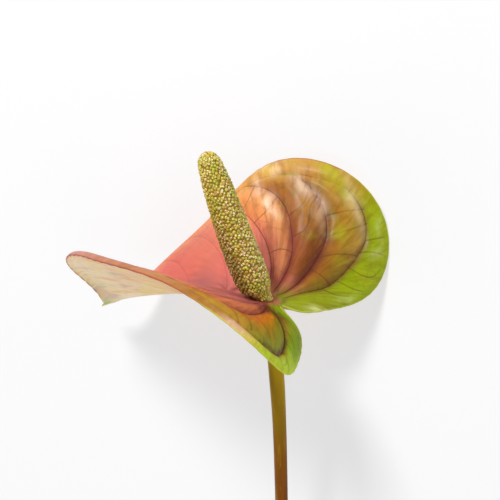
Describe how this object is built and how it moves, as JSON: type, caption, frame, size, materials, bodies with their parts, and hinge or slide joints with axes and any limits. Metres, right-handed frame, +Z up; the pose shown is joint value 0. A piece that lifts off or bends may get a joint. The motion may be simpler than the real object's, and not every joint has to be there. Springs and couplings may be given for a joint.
{
  "type": "cut anthurium stem",
  "caption": "Single cut anthurium flower lying down: a folded heart-shaped waxy spathe, a knobbly spadix and a long bare stalk with a slanted cut foot.",
  "frame": {"origin": "centre of the bounding box on the surface that the flower lies on", "axes": "+Y along the stalk towards the bloom, +Z up from the surface, +X across the bloom towards the far lobe of the heart"},
  "size_m": [0.1172, 0.3982, 0.1051],
  "materials": {
    "spathe": "waxy living tissue, coral at the heart, olive and lime green at the lobes, with dark sunken veins",
    "spadix": "olive green knobbly florets with pale yellow glints and small brown stigmas",
    "peduncle": "smooth satin olive green stalk flushed with red-brown"
  },
  "bodies": {
    "root": {"peduncle": "peduncle", "spathe": "spathe", "spadix": "spadix"}
  },
  "joints": []
}
